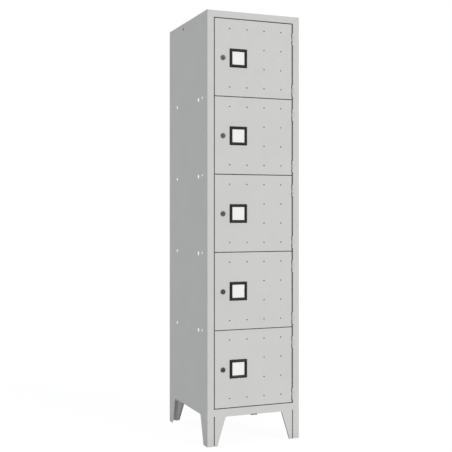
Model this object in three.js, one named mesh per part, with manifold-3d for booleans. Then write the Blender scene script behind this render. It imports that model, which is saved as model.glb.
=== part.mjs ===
// A five-door compartment locker in folded sheet steel: one column of doors on four tapered legs.
// Millimetres, +Z up, +X to the right of a person who faces the doors, +Y towards the back.
// The origin is on the floor, under the middle of the box that holds the whole locker.

import * as THREE from 'three';
import { mergeVertices, toCreasedNormals } from 'three/addons/utils/BufferGeometryUtils.js';
import Module from 'manifold-3d';

const wasm = await Module();
wasm.setup();

// Overall sizes
const WIDTH = 420;
const DEPTH = 500;
const HEIGHT = 1800;
const DOOR_COUNT = 5;

// Sheet metal: BEND is the radius of a fold to the middle of the sheet
const SHEET = 1;
const BEND = 2;
const BEND_STEPS = 3;

// Edges sharper than this angle are shaded as edges
const CREASE = Math.PI / 6;

// SEAM is left along a weld and SEAT between pieces that rest on each other, OVERRUN lengthens a cutter
const SEAM = 0.2;
const SEAT = 0.3;
const OVERRUN = 5;

// Front uprights and rear flanges, both folded from the side panels
const stile = { width: 30, returnDepth: 16, lip: 10 };
const rearFlange = { width: 30 };

// Legs: each face of a leg narrows to its foot, and a slit parts the upright from the wing beside it.
// On the rear legs it parts the flange from the wing, and is shorter.
const leg = {
  height: 120, footWidth: 45, topWidth: 82, cornerRadius: 8, edgeReturn: 10,
  slit: 3.5, slitRise: 4, slitReturn: 14, rearSlitHeight: 92,
};

const plinth = { height: 32.75, topReturn: 14 };
const topRail = { height: 28.75, returnDepth: 14, rearFlange: 20, mitreGap: 0.4 };

// Shelves stand a little above the gap between two doors, and their front flange closes that gap
const shelf = { rise: 8, drop: 16, frontLip: 8, rearFlange: 20 };

// Shallow channel that stiffens the floor, under the flanges of the plinth and the back.
// A notch in the plinth's lower edge shows its front end.
const channel = { width: 30, height: 3, setback: 2, notchHeight: 1.5, notchPlay: 0.5 };

// Fixing holes in the side panels, one set at each shelf, and one hole near the top
const fixing = {
  radius: 3.25, smallRadius: 2.5, sides: 12,
  frontInset: 104, frontDrop: 7, smallInset: 58, smallDrop: 3, rearInset: 114.5, rearDrop: 8,
};
const cableHole = { radius: 5.75, sides: 16, fromFront: 304, fromTop: 24 };

// Doors: shallow pans that hang flush with the uprights
const door = { gap: 3.5, hingeGap: 5.2, depth: 14, lip: 8, edgeRadius: 1.2, edgeSteps: 2 };

// Vent holes: the first column and the pitches are shares of the door's width and height
const perforation = {
  radius: 2.75, sides: 12, columns: 4, rows: 4, drop: 0.8,
  firstColumnShare: 0.188, columnShare: 0.222, rowShare: 0.253,
};

// Hinges: a barrel in three knuckles on a fixed pin, the middle knuckle on the door
const hinge = {
  length: 50, fromDoorTop: 38, fromDoorBottom: 11, axisInset: 1, axisDepth: 3.2,
  radius: 5, sides: 16, endKnuckle: 15, knuckleGap: 0.3, clearance: 0.5, leaf: 1.5,
  notchDepth: 1.6, notchMargin: 1, pinRadius: 2, pinPlay: 0.3, pinSides: 8,
};

// Cam locks, a little below the middle of the door
const lock = {
  fromEdge: 36.3, drop: 2,
  headRadius: 10.7, headHeight: 2.3, headBevel: 0.8, barrelRadius: 8, holePlay: 0.3,
  sides: 20, plugRadius: 5, plugPlay: 0.3, plugProud: 0.4, plugSides: 16,
  nutRadius: 12, nutThickness: 5, nutSides: 6, tailSide: 7, tailPlay: 0.3, rivetRadius: 6, rivetHeight: 1,
};
const keyway = { width: 1.6, height: 7, depth: 5 };
const cam = { thickness: 2, width: 16, engagement: 6, clearance: 0.6, endSteps: 6 };

// Label holders: a ridged frame around a square window, with a card behind its lip
const label = {
  fromEdge: 104.9, drop: 1, width: 78.3, height: 78, sides: 4,
  border: 12, ridge: 4, ridgeInset: 6, rim: 1.2, pocket: 2.5, windowRise: 1.8,
};
const card = { thickness: 0.5, play: 0.3 };

// Sizes that follow from the ones above
const halfWidth = WIDTH / 2;
const halfSheet = SHEET / 2;
const foldRadius = BEND + halfSheet;
const doorWidth = WIDTH - 2 * stile.width - door.gap - door.hingeGap;
const slitTop = leg.height + leg.slitRise;
const plinthTop = leg.height + plinth.height;
const doorStack = HEIGHT - topRail.height - plinthTop - door.gap;
const doorPitch = doorStack / DOOR_COUNT;
const doorHeight = doorPitch - door.gap;
const backFront = DEPTH - 2 * SHEET - SEAM;
const shelfFront = stile.returnDepth + SEAT;
const shelfBack = backFront - SEAT;
const hingeX = door.hingeGap + hinge.axisInset;
const lockHoleRadius = lock.barrelRadius + lock.holePlay;
const camFront = stile.returnDepth + cam.clearance;
const barrelEnd = camFront - SEAT;
const labelDepth = SEAM + label.ridge;
const lockDepth = SEAM + lock.headHeight + lock.plugProud;
const hingeDepth = hinge.radius - hinge.axisDepth;
const frontReach = Math.max(labelDepth, lockDepth, hingeDepth);
const frontY = (frontReach - DEPTH) / 2;
const lockHeight = doorHeight / 2 - lock.drop;
const labelHeight = doorHeight / 2 - label.drop;
const ventHeight = doorHeight / 2 - perforation.drop;

const doorBottom = (number) => plinthTop + door.gap + (DOOR_COUNT - number) * doorPitch;
const gapBelow = (number) => doorBottom(number) - door.gap / 2;

// Shapes

const at = (x, y) => new THREE.Vector2(x, y);

// Points of a path with its corners rounded, moved sideways by an offset: positive is to the left of travel.
function roundedPath(corners, radius, offset) {
  const runs = corners.slice(1).map((corner, i) => corner.clone().sub(corners[i]).normalize());
  const leftOf = (run) => at(-run.y, run.x);
  const points = [corners[0].clone().addScaledVector(leftOf(runs[0]), offset)];
  for (let i = 1; i < runs.length; i += 1) {
    const turn = Math.atan2(runs[i - 1].cross(runs[i]), runs[i - 1].dot(runs[i]));
    const side = Math.sign(turn);
    const reach = radius * Math.tan(Math.abs(turn) / 2);
    const inward = leftOf(runs[i - 1]).multiplyScalar(side);
    const start = corners[i].clone().addScaledVector(runs[i - 1], -reach);
    const centre = start.addScaledVector(inward, radius);
    for (let step = 0; step <= BEND_STEPS; step += 1) {
      const arm = inward.clone().negate().rotateAround(at(0, 0), (turn * step) / BEND_STEPS);
      points.push(centre.clone().addScaledVector(arm, radius - side * offset));
    }
  }
  points.push(corners.at(-1).clone().addScaledVector(leftOf(runs.at(-1)), offset));
  return points;
}

// Outline of a sheet folded along a path, which runs in the middle of the sheet.
function foldedSection(corners, thickness = SHEET) {
  const left = roundedPath(corners, BEND, thickness / 2);
  const right = roundedPath(corners, BEND, -thickness / 2);
  return [...left, ...right.reverse()];
}

// A prism of an outline in X and Y, upright between two heights.
function uprightPrism(points, low, high) {
  const shape = new THREE.Shape(points);
  const prism = new THREE.ExtrudeGeometry(shape, { depth: high - low, bevelEnabled: false });
  return prism.translate(0, 0, low);
}

// A prism of an outline in X and Z, from front to back.
function facePrism(points, front, back) {
  return uprightPrism(points, 0, back - front).rotateX(Math.PI / 2).translate(0, back, 0);
}

// A prism of an outline in Y and Z, from left to right.
function crossPrism(points, left, right) {
  const turned = new THREE.Matrix4().makeBasis(at3(0, 1, 0), at3(0, 0, 1), at3(1, 0, 0));
  return uprightPrism(points, left, right).applyMatrix4(turned);
}

function at3(x, y, z) {
  return new THREE.Vector3(x, y, z);
}

// A block between a low and a high corner.
function block(low, high) {
  const size = high.clone().sub(low);
  const centre = low.clone().add(high).divideScalar(2);
  return new THREE.BoxGeometry(size.x, size.y, size.z).translate(centre.x, centre.y, centre.z);
}

// Round rods along each direction.
function rodAlongY(x, z, radius, front, back, sides) {
  const rod = new THREE.CylinderGeometry(radius, radius, back - front, sides);
  return rod.translate(x, (front + back) / 2, z);
}

function rodAlongZ(x, y, radius, low, high, sides) {
  const rod = new THREE.CylinderGeometry(radius, radius, high - low, sides);
  return rod.rotateX(Math.PI / 2).translate(x, y, (low + high) / 2);
}

function rodAlongX(y, z, radius, left, right, sides) {
  const rod = new THREE.CylinderGeometry(radius, radius, right - left, sides);
  return rod.rotateZ(Math.PI / 2).translate((left + right) / 2, y, z);
}

// Joining and cutting

function solid(geometry) {
  geometry.deleteAttribute('normal');
  geometry.deleteAttribute('uv');
  const merged = mergeVertices(geometry);
  return new wasm.Manifold(new wasm.Mesh({
    numProp: 3,
    vertProperties: merged.attributes.position.array,
    triVerts: Uint32Array.from(merged.index.array),
  }));
}

const joined = (base, geometries) => geometries.reduce((sum, extra) => sum.add(solid(extra)), base);
const cut = (base, geometries) => geometries.reduce((rest, tool) => rest.subtract(solid(tool)), base);

function geometryOf(body) {
  const mesh = body.getMesh();
  const geometry = new THREE.BufferGeometry();
  geometry.setAttribute('position', new THREE.BufferAttribute(mesh.vertProperties, mesh.numProp));
  geometry.setIndex(new THREE.BufferAttribute(mesh.triVerts, 1));
  return toCreasedNormals(geometry, CREASE);
}

// Finishes

const paint = () => new THREE.MeshStandardMaterial({ color: 0xcbcccb, roughness: 0.45, metalness: 0.1 });
const primer = () => new THREE.MeshStandardMaterial({ color: 0x7f8183, roughness: 0.6, metalness: 0.1 });
const zinc = () => new THREE.MeshStandardMaterial({ color: 0x9b9da0, roughness: 0.35, metalness: 0.9 });
const lockMetal = () => new THREE.MeshStandardMaterial({ color: 0x56575a, roughness: 0.4, metalness: 0.8 });
const blackPlastic = () => new THREE.MeshStandardMaterial({ color: 0x1f1c1b, roughness: 0.35, metalness: 0 });
const paper = () => new THREE.MeshStandardMaterial({ color: 0xeeeeed, roughness: 0.8, metalness: 0 });

function piece(name, geometry, material) {
  const mesh = new THREE.Mesh(geometry, material);
  mesh.name = name;
  return mesh;
}

// Carcass: its front plane is at Y zero, and the left side is minus one

// Middle of the sheet of a side panel, in plan, from the lip of its upright round to its rear flange.
function sidePath(side) {
  const fromOutside = (inset, y) => at(side * (halfWidth - inset), y);
  return [
    fromOutside(stile.width - stile.lip, stile.returnDepth - halfSheet),
    fromOutside(stile.width - halfSheet, stile.returnDepth - halfSheet),
    fromOutside(stile.width - halfSheet, halfSheet),
    fromOutside(halfSheet, halfSheet),
    fromOutside(halfSheet, DEPTH - halfSheet),
    fromOutside(rearFlange.width, DEPTH - halfSheet),
  ];
}

// Corners of the space between two legs on a face of the given span, from one foot up and over to the other.
function legOpening(span) {
  return [
    at(leg.footWidth, 0),
    at(leg.topWidth, leg.height),
    at(span - leg.topWidth, leg.height),
    at(span - leg.footWidth, 0),
  ];
}

const legOpeningEdge = (span, offset) => roundedPath(legOpening(span), leg.cornerRadius, offset);

// Strips folded back along both slits of a face, at a distance from its ends and between two depths.
function slitReturns(inset, front, back, top) {
  return [inset, WIDTH - inset - SHEET].map((x) => block(at3(x, front, 0), at3(x + SHEET, back, top)));
}

// The space above the mitre where an upright meets the top rail, drawn in by a gap on the rail's side.
function mitreLine(side, gap) {
  return [
    at(side * (halfWidth - foldRadius - gap), HEIGHT),
    at(side * (halfWidth - stile.width - gap), HEIGHT - topRail.height),
  ];
}

function fixingHoles(side) {
  const holes = [];
  const left = Math.min(side * halfWidth, side * (halfWidth - foldRadius)) - OVERRUN;
  const right = left + 2 * OVERRUN + foldRadius;
  const hole = (y, z, radius, sides) => rodAlongX(y, z, radius, left, right, sides);
  for (let number = 1; number < DOOR_COUNT; number += 1) {
    const level = gapBelow(number);
    holes.push(hole(fixing.frontInset, level - fixing.frontDrop, fixing.radius, fixing.sides));
    holes.push(hole(fixing.smallInset, level - fixing.smallDrop, fixing.smallRadius, fixing.sides));
    holes.push(hole(DEPTH - fixing.rearInset, level - fixing.rearDrop, fixing.radius, fixing.sides));
  }
  holes.push(hole(cableHole.fromFront, HEIGHT - cableHole.fromTop, cableHole.radius, cableHole.sides));
  return holes;
}

function sidePanel(side) {
  const sheet = solid(uprightPrism(foldedSection(sidePath(side)), 0, HEIGHT));
  const slitEdges = [side * (halfWidth - rearFlange.width), side * (halfWidth - rearFlange.width + SHEET)];
  const panel = joined(sheet, [block(
    at3(Math.min(...slitEdges), DEPTH - leg.slitReturn, 0),
    at3(Math.max(...slitEdges), DEPTH, leg.rearSlitHeight - SEAM),
  )]);
  const legCut = [
    at(leg.footWidth, -OVERRUN),
    ...legOpeningEdge(DEPTH, 0),
    at(DEPTH - leg.footWidth, -OVERRUN),
  ];
  const inside = side * (halfWidth - stile.width - OVERRUN);
  const mitre = [
    ...mitreLine(side, 0),
    at(inside, HEIGHT - topRail.height),
    at(inside, HEIGHT + OVERRUN),
    at(side * (halfWidth - foldRadius), HEIGHT + OVERRUN),
  ];
  const wall = side * (halfWidth - SHEET);
  const underTop = HEIGHT - foldRadius - SEAM;
  return cut(panel, [
    crossPrism(legCut, -halfWidth - OVERRUN, halfWidth + OVERRUN),
    facePrism(mitre, -OVERRUN, SHEET + SEAM),
    block(
      at3(Math.min(inside, wall), SHEET + SEAM, underTop),
      at3(Math.max(inside, wall), backFront, HEIGHT + OVERRUN),
    ),
    ...fixingHoles(side),
  ]);
}

// Heights of a door's two hinges, from the door's lower edge.
const hingeLows = [doorHeight - hinge.fromDoorTop - hinge.length, hinge.fromDoorBottom];

// The hinges' outer knuckles are rolled from the right upright, with room between them for the door's.
function rightPanel() {
  const axisX = halfWidth - stile.width + hinge.axisInset;
  const barrels = [];
  const spaces = [];
  const rod = (radius, low, high, sides) => rodAlongZ(axisX, hinge.axisDepth, radius, low, high, sides);
  for (let number = 1; number <= DOOR_COUNT; number += 1) {
    for (const hingeLow of hingeLows) {
      const low = doorBottom(number) + hingeLow;
      const high = low + hinge.length;
      barrels.push(rod(hinge.radius, low, low + hinge.endKnuckle, hinge.sides));
      barrels.push(rod(hinge.radius, high - hinge.endKnuckle, high, hinge.sides));
      const reach = hinge.radius + hinge.clearance;
      spaces.push(rod(reach, low + hinge.endKnuckle, high - hinge.endKnuckle, hinge.sides));
      spaces.push(rod(hinge.pinRadius + hinge.pinPlay, low, high, hinge.pinSides));
    }
  }
  return cut(joined(sidePanel(1), barrels), spaces);
}

// The plinth: a rail between the uprights with a wing down the inner side of each front leg.
function plinthRail() {
  const railEnd = stile.width - foldRadius;
  const returnEnd = stile.width + SEAM;
  const wingEdge = stile.width + leg.slit;
  const outline = [
    ...legOpeningEdge(WIDTH, 0),
    at(WIDTH - wingEdge, 0),
    at(WIDTH - wingEdge, slitTop),
    at(WIDTH - railEnd, slitTop),
    at(WIDTH - railEnd, plinthTop),
    at(railEnd, plinthTop),
    at(railEnd, slitTop),
    at(wingEdge, slitTop),
    at(wingEdge, 0),
  ];
  const edge = [...legOpeningEdge(WIDTH, 0), ...legOpeningEdge(WIDTH, SHEET).reverse()];
  const face = solid(facePrism(outline, 0, SHEET));
  const rail = joined(face, [
    facePrism(edge, 0, leg.edgeReturn),
    ...slitReturns(wingEdge, 0, leg.slitReturn, slitTop),
    block(at3(returnEnd, 0, plinthTop - SHEET), at3(WIDTH - returnEnd, plinth.topReturn, plinthTop)),
  ]);
  const placed = rail.translate(-halfWidth, 0, 0);
  const grown = SHEET + 2 * SEAM;
  const uprights = [-1, 1].map((side) => uprightPrism(foldedSection(sidePath(side), grown), 0, HEIGHT));
  const notchHalf = channel.width / 2 + channel.notchPlay;
  const notch = block(
    at3(-notchHalf, -OVERRUN, leg.height - OVERRUN),
    at3(notchHalf, leg.edgeReturn + OVERRUN, leg.height + channel.notchHeight),
  );
  return cut(placed, [...uprights, notch]);
}

// The back: a sheet inside the rear flanges, with a wing down the inner side of each rear leg.
function backPanel() {
  const sideEdge = SHEET + BEND;
  const wingEdge = rearFlange.width + leg.slit;
  const outline = [
    ...legOpeningEdge(WIDTH, 0),
    at(WIDTH - wingEdge, 0),
    at(WIDTH - wingEdge, leg.rearSlitHeight),
    at(WIDTH - sideEdge, leg.rearSlitHeight),
    at(WIDTH - sideEdge, HEIGHT),
    at(sideEdge, HEIGHT),
    at(sideEdge, leg.rearSlitHeight),
    at(wingEdge, leg.rearSlitHeight),
    at(wingEdge, 0),
  ];
  const edge = [...legOpeningEdge(WIDTH, 0), ...legOpeningEdge(WIDTH, SHEET).reverse()];
  const backBack = backFront + SHEET;
  const face = solid(facePrism(outline, backFront, backBack));
  const sheet = joined(face, [
    facePrism(edge, backBack - leg.edgeReturn, backBack),
    ...slitReturns(wingEdge, backBack - leg.slitReturn, backBack, leg.rearSlitHeight),
  ]);
  return sheet.translate(-halfWidth, 0, 0);
}

// The top: one sheet folded down at the front as the top rail, mitred to the uprights, and down at the back.
function topPanel() {
  const railBottom = HEIGHT - topRail.height;
  const path = [
    at(topRail.returnDepth, railBottom + halfSheet),
    at(halfSheet, railBottom + halfSheet),
    at(halfSheet, HEIGHT - halfSheet),
    at(shelfBack - halfSheet, HEIGHT - halfSheet),
    at(shelfBack - halfSheet, HEIGHT - topRail.rearFlange),
  ];
  const sheet = solid(crossPrism(foldedSection(path), -halfWidth, halfWidth));
  const tools = [];
  const above = HEIGHT + OVERRUN;
  const below = railBottom - OVERRUN;
  for (const side of [-1, 1]) {
    const outside = side * (halfWidth + OVERRUN);
    const mitre = [
      ...mitreLine(side, topRail.mitreGap),
      at(side * (halfWidth - stile.width - topRail.mitreGap), below),
      at(outside, below),
      at(outside, HEIGHT),
    ];
    const beside = (inset, front, back, low, high) => {
      const edge = side * (halfWidth - inset);
      return block(
        at3(Math.min(edge, outside), front, low),
        at3(Math.max(edge, outside), back, high),
      );
    };
    const inner = stile.width + SEAM;
    tools.push(facePrism(mitre, -OVERRUN, SHEET + SEAM));
    tools.push(beside(foldRadius + SEAM, -OVERRUN, foldRadius + SEAM, below, above));
    tools.push(beside(SHEET + SEAM, -OVERRUN, DEPTH, below, above));
    tools.push(beside(inner, SHEET + SEAM, shelfFront, below, HEIGHT - foldRadius));
  }
  return cut(sheet, tools);
}

// A shelf or the floor: a pan with its flanges down, its height counted from the gap it closes.
function shelfPan(drop) {
  const edge = halfWidth - SHEET - SEAT;
  const path = [
    at(shelfFront + shelf.frontLip, halfSheet - drop),
    at(shelfFront + halfSheet, halfSheet - drop),
    at(shelfFront + halfSheet, shelf.rise - halfSheet),
    at(shelfBack - halfSheet, shelf.rise - halfSheet),
    at(shelfBack - halfSheet, shelf.rise - shelf.rearFlange),
  ];
  const sideFlange = (side) => block(
    at3(Math.min(side * edge, side * (edge - SHEET)), shelfFront + foldRadius + SEAM, -drop),
    at3(Math.max(side * edge, side * (edge - SHEET)), shelfBack - foldRadius - SEAM, shelf.rise - halfSheet),
  );
  return joined(solid(crossPrism(foldedSection(path), -edge, edge)), [-1, 1].map(sideFlange));
}

// The floor's stiffening channel, open upwards.
function floorChannel() {
  const top = leg.height - SEAM;
  const edge = channel.width / 2 - halfSheet;
  const low = top - channel.height + halfSheet;
  const path = [at(-edge, top), at(-edge, low), at(edge, low), at(edge, top)];
  return solid(facePrism(foldedSection(path), channel.setback, backFront - channel.setback));
}

// Doors: drawn from their lower left corner, with the front plane at Y zero

// Outline of a door drawn in by an inset, with a notch beside each hinge.
function doorOutline(inset) {
  const right = doorWidth - inset;
  const outline = [at(inset, inset), at(right, inset)];
  for (const low of [...hingeLows].reverse()) {
    const notchLow = low - hinge.notchMargin - inset;
    const notchHigh = low + hinge.length + hinge.notchMargin + inset;
    outline.push(at(right, notchLow));
    outline.push(at(right - hinge.notchDepth, notchLow));
    outline.push(at(right - hinge.notchDepth, notchHigh));
    outline.push(at(right, notchHigh));
  }
  outline.push(at(right, doorHeight - inset), at(inset, doorHeight - inset));
  return outline;
}

// Vent holes in rows and columns, left out where the lock and the label holder sit.
function perforations() {
  const holes = [];
  const middleRow = (perforation.rows - 1) / 2;
  const middleColumn = (perforation.columns - 1) / 2;
  for (let row = 0; row < perforation.rows; row += 1) {
    const outerRow = Math.abs(row - middleRow) >= middleRow;
    for (let column = 0; column < perforation.columns; column += 1) {
      if (outerRow || column > middleColumn) {
        const x = (perforation.firstColumnShare + column * perforation.columnShare) * doorWidth;
        const z = ventHeight + (row - middleRow) * perforation.rowShare * doorHeight;
        holes.push(rodAlongY(x, z, perforation.radius, -OVERRUN, SHEET + OVERRUN, perforation.sides));
      }
    }
  }
  return holes;
}

function doorShell() {
  const rounding = {
    depth: door.depth - 2 * door.edgeRadius,
    bevelThickness: door.edgeRadius,
    bevelSize: door.edgeRadius,
    bevelOffset: -door.edgeRadius,
    bevelSegments: door.edgeSteps,
  };
  const outer = new THREE.ExtrudeGeometry(new THREE.Shape(doorOutline(0)), rounding);
  outer.translate(0, 0, door.edgeRadius).rotateX(Math.PI / 2).translate(0, door.depth, 0);
  const mouthRight = doorWidth - hinge.notchDepth - door.lip;
  return cut(solid(outer), [
    facePrism(doorOutline(SHEET), SHEET, door.depth - SHEET),
    block(at3(door.lip, SHEET, door.lip), at3(mouthRight, door.depth + OVERRUN, doorHeight - door.lip)),
  ]);
}

function doorPanel() {
  const axisX = doorWidth + hingeX;
  const knuckles = [];
  const bores = [];
  for (const hingeLow of hingeLows) {
    const low = hingeLow + hinge.endKnuckle + hinge.knuckleGap;
    const high = hingeLow + hinge.length - hinge.endKnuckle - hinge.knuckleGap;
    const leafBack = hinge.axisDepth + hinge.radius * Math.cos(Math.PI / hinge.sides);
    const leafLeft = doorWidth - hinge.notchDepth - halfSheet;
    knuckles.push(rodAlongZ(axisX, hinge.axisDepth, hinge.radius, low, high, hinge.sides));
    knuckles.push(block(at3(leafLeft, leafBack - hinge.leaf, low), at3(axisX, leafBack, high)));
    const bore = hinge.pinRadius + hinge.pinPlay;
    bores.push(rodAlongZ(axisX, hinge.axisDepth, bore, low - OVERRUN, high + OVERRUN, hinge.pinSides));
  }
  return cut(joined(doorShell(), knuckles), [
    ...bores,
    ...perforations(),
    rodAlongY(lock.fromEdge, lockHeight, lockHoleRadius, -OVERRUN, SHEET + OVERRUN, lock.sides),
  ]);
}

// Pins stop short of the barrel's ends, where the upright holds them in.
function hingePin() {
  return rodAlongZ(0, 0, hinge.pinRadius, SEAT, hinge.length - SEAT, hinge.pinSides);
}

// Lock pieces: drawn round the lock's own axis

function lockBody() {
  const bore = lock.plugRadius + lock.plugPlay;
  const front = -SEAM - lock.headHeight;
  const profile = [
    at(bore, front),
    at(lock.headRadius - lock.headBevel, front),
    at(lock.headRadius, front + lock.headBevel),
    at(lock.headRadius, -SEAM),
    at(lock.barrelRadius, -SEAM),
    at(lock.barrelRadius, barrelEnd),
    at(bore, barrelEnd),
    at(bore, front),
  ];
  return new THREE.LatheGeometry(profile, lock.sides);
}

function lockNut() {
  const front = SHEET + SEAM;
  const back = front + lock.nutThickness;
  const nut = solid(rodAlongY(0, 0, lock.nutRadius, front, back, lock.nutSides));
  return cut(nut, [rodAlongY(0, 0, lockHoleRadius, 0, back + OVERRUN, lock.sides)]);
}

function lockPlug() {
  const front = -lockDepth;
  const tail = lock.tailSide / 2;
  const rivetFront = camFront + cam.thickness + SEAM;
  const plug = solid(rodAlongY(0, 0, lock.plugRadius, front, barrelEnd, lock.plugSides));
  const whole = joined(plug, [
    block(at3(-tail, 0, -tail), at3(tail, rivetFront + lock.rivetHeight / 2, tail)),
    rodAlongY(0, 0, lock.rivetRadius, rivetFront, rivetFront + lock.rivetHeight, lock.plugSides),
  ]);
  return cut(whole, [block(
    at3(-keyway.width / 2, front - OVERRUN, -keyway.height / 2),
    at3(keyway.width / 2, front + keyway.depth, keyway.height / 2),
  )]);
}

// The cam hangs straight down while the door is unlocked, and reaches behind the upright when turned.
function lockCam() {
  const half = cam.width / 2;
  const reach = lock.fromEdge + door.gap + cam.engagement;
  const outline = new THREE.Shape();
  outline.absarc(0, 0, half, 0, Math.PI, false);
  outline.absarc(0, half - reach, half, Math.PI, 2 * Math.PI, false);
  const bar = solid(facePrism(outline.getPoints(cam.endSteps), camFront, camFront + cam.thickness));
  const hole = lock.tailSide / 2 + lock.tailPlay;
  return cut(bar, [block(at3(-hole, 0, -hole), at3(hole, camFront + cam.thickness + OVERRUN, hole))]);
}

// Label holder: drawn round the middle of its window

// A square ring of a section given as distance from the middle and height off the door.
function labelFrame() {
  const outer = label.width / 2;
  const inner = outer - label.border;
  const pocketEdge = inner + label.pocket;
  const pocketRise = SEAM + card.thickness + card.play;
  const diagonal = Math.SQRT2;
  const section = [
    at(outer * diagonal, -SEAM),
    at(pocketEdge * diagonal, -SEAM),
    at(pocketEdge * diagonal, -pocketRise),
    at(inner * diagonal, -pocketRise),
    at(inner * diagonal, -label.windowRise),
    at((inner + label.ridgeInset) * diagonal, -labelDepth),
    at(outer * diagonal, -SEAM - label.rim),
    at(outer * diagonal, -SEAM),
  ];
  const ring = new THREE.LatheGeometry(section, label.sides).rotateY(Math.PI / label.sides);
  return ring.scale(1, 1, label.height / label.width);
}

function labelCard() {
  const half = label.width / 2 - label.border + label.pocket - card.play;
  const tall = (half * label.height) / label.width;
  return block(at3(-half, -SEAM - card.thickness, -tall), at3(half, -SEAM, tall));
}

// Assembly

const carcass = new THREE.Group();
carcass.position.y = frontY;
carcass.add(piece('left_side_panel', geometryOf(sidePanel(-1)), paint()));
carcass.add(piece('right_side_panel', geometryOf(rightPanel()), paint()));
carcass.add(piece('back_panel', geometryOf(backPanel()), paint()));
carcass.add(piece('top_panel', geometryOf(topPanel()), paint()));
carcass.add(piece('plinth_rail', geometryOf(plinthRail()), paint()));
carcass.add(piece('floor_channel', geometryOf(floorChannel()), primer()));

const floorLevel = plinthTop + door.gap / 2;
const floor = piece('floor_panel', geometryOf(shelfPan(floorLevel - leg.height - SEAM)), paint());
floor.position.z = floorLevel;
carcass.add(floor);

const shelfGeometry = geometryOf(shelfPan(shelf.drop));
for (let number = 1; number < DOOR_COUNT; number += 1) {
  const pan = piece(`shelf_${number}`, shelfGeometry, paint());
  pan.position.z = gapBelow(number);
  carcass.add(pan);
}

const shapes = {
  panel: geometryOf(doorPanel()),
  pin: hingePin(),
  body: lockBody(),
  nut: geometryOf(lockNut()),
  plug: geometryOf(lockPlug()),
  cam: geometryOf(lockCam()),
  frame: labelFrame(),
  card: labelCard(),
};

// One door with its hinge pins, lock and label holder, numbered from the top.
function doorUnit(number) {
  const unit = new THREE.Group();
  unit.position.set(stile.width + door.gap - halfWidth, 0, doorBottom(number));
  unit.add(piece(`door_${number}_panel`, shapes.panel, paint()));

  ['upper', 'lower'].forEach((place, i) => {
    const pin = piece(`door_${number}_hinge_pin_${place}`, shapes.pin, zinc());
    pin.position.set(doorWidth + hingeX, hinge.axisDepth, hingeLows[i]);
    unit.add(pin);
  });

  const lockSet = new THREE.Group();
  lockSet.position.set(lock.fromEdge, 0, lockHeight);
  lockSet.add(piece(`door_${number}_lock_body`, shapes.body, lockMetal()));
  lockSet.add(piece(`door_${number}_lock_nut`, shapes.nut, zinc()));
  lockSet.add(piece(`door_${number}_lock_plug`, shapes.plug, lockMetal()));
  lockSet.add(piece(`door_${number}_lock_cam`, shapes.cam, zinc()));
  unit.add(lockSet);

  const holder = new THREE.Group();
  holder.position.set(label.fromEdge, 0, labelHeight);
  holder.add(piece(`door_${number}_label_frame`, shapes.frame, blackPlastic()));
  holder.add(piece(`door_${number}_label_card`, shapes.card, paper()));
  unit.add(holder);
  return unit;
}

for (let number = 1; number <= DOOR_COUNT; number += 1) {
  carcass.add(doorUnit(number));
}

const locker = new THREE.Group();
locker.add(carcass);
export default locker;
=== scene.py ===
"""A five-door compartment locker in powder-coated sheet steel, dressed around its packed solids.

Metres, +Z up, +X to the right of a person who faces the doors, +Y towards the back. The floor is
at Z zero. The folded sheets, hinge pins and cams are the packed solids under new finishes. The
locks, nuts, label holders and rivet heads are surfaces worked out here.
"""

import logging
from dataclasses import dataclass, field
from enum import Enum

import bpy
import numpy as np
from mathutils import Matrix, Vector


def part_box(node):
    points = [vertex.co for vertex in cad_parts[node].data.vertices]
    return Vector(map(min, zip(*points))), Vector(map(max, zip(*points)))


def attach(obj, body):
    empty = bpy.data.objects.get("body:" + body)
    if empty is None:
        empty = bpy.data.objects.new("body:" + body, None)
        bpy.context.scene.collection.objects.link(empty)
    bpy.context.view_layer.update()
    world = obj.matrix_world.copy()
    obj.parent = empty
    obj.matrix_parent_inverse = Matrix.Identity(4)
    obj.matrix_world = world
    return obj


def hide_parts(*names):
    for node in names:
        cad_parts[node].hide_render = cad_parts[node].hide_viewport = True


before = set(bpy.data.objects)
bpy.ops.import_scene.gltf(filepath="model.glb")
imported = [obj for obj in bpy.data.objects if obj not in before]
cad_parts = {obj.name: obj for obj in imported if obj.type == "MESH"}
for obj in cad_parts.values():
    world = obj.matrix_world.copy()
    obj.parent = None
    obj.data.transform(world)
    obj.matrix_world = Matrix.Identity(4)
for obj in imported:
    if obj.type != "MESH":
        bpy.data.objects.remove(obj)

LOG = logging.getLogger("locker")
MM = 0.001
DOOR_COUNT = 5

# Keeps a divisor off zero
TINY = 1e-9

# Metres within which two points of a profile are one
SAME_POINT = 1e-7

# Between these two lie most of a noise's values
NOISE_LOW = 0.3
NOISE_HIGH = 0.7

# Places of a colour Mix node's sockets, whose names are shared with its hidden ones
MIX_A = 6
MIX_B = 7
MIX_COLOUR = 2

# Points and faces of a mesh, and a node with one of its output sockets
Surface = tuple[np.ndarray, list[list[int]]]
Outlet = tuple[bpy.types.Node, str | int]


class Wrap(Enum):
    """How a skin over a row of loops is closed."""

    CAPPED = "the first and the last loop are each filled by a face"
    RING = "the last loop joins the first one"


class Side(Enum):
    """The two side panels, by the direction in X that each one faces."""

    LEFT = -1
    RIGHT = 1


# Shapes


def polar_loops(radius: np.ndarray, depth: np.ndarray, axis: tuple[float, float]) -> np.ndarray:
    """Closed loops round an axis that runs from front to back.

    A point at angle t has X = axis X + radius cos t and Z = axis Z + radius sin t.

    Args:
        radius: Radius at each loop and angle, loops by angles.
        depth: Y of each loop, or of each loop and angle.
        axis: X and Z of the axis.

    Returns:
        Points, loops by angles by 3.
    """
    angle = np.linspace(0, 2 * np.pi, radius.shape[1], endpoint=False)
    deep = np.broadcast_to(np.asarray(depth).reshape(len(radius), -1), radius.shape)
    return np.stack([axis[0] + radius * np.cos(angle), deep, axis[1] + radius * np.sin(angle)], -1)


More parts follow.
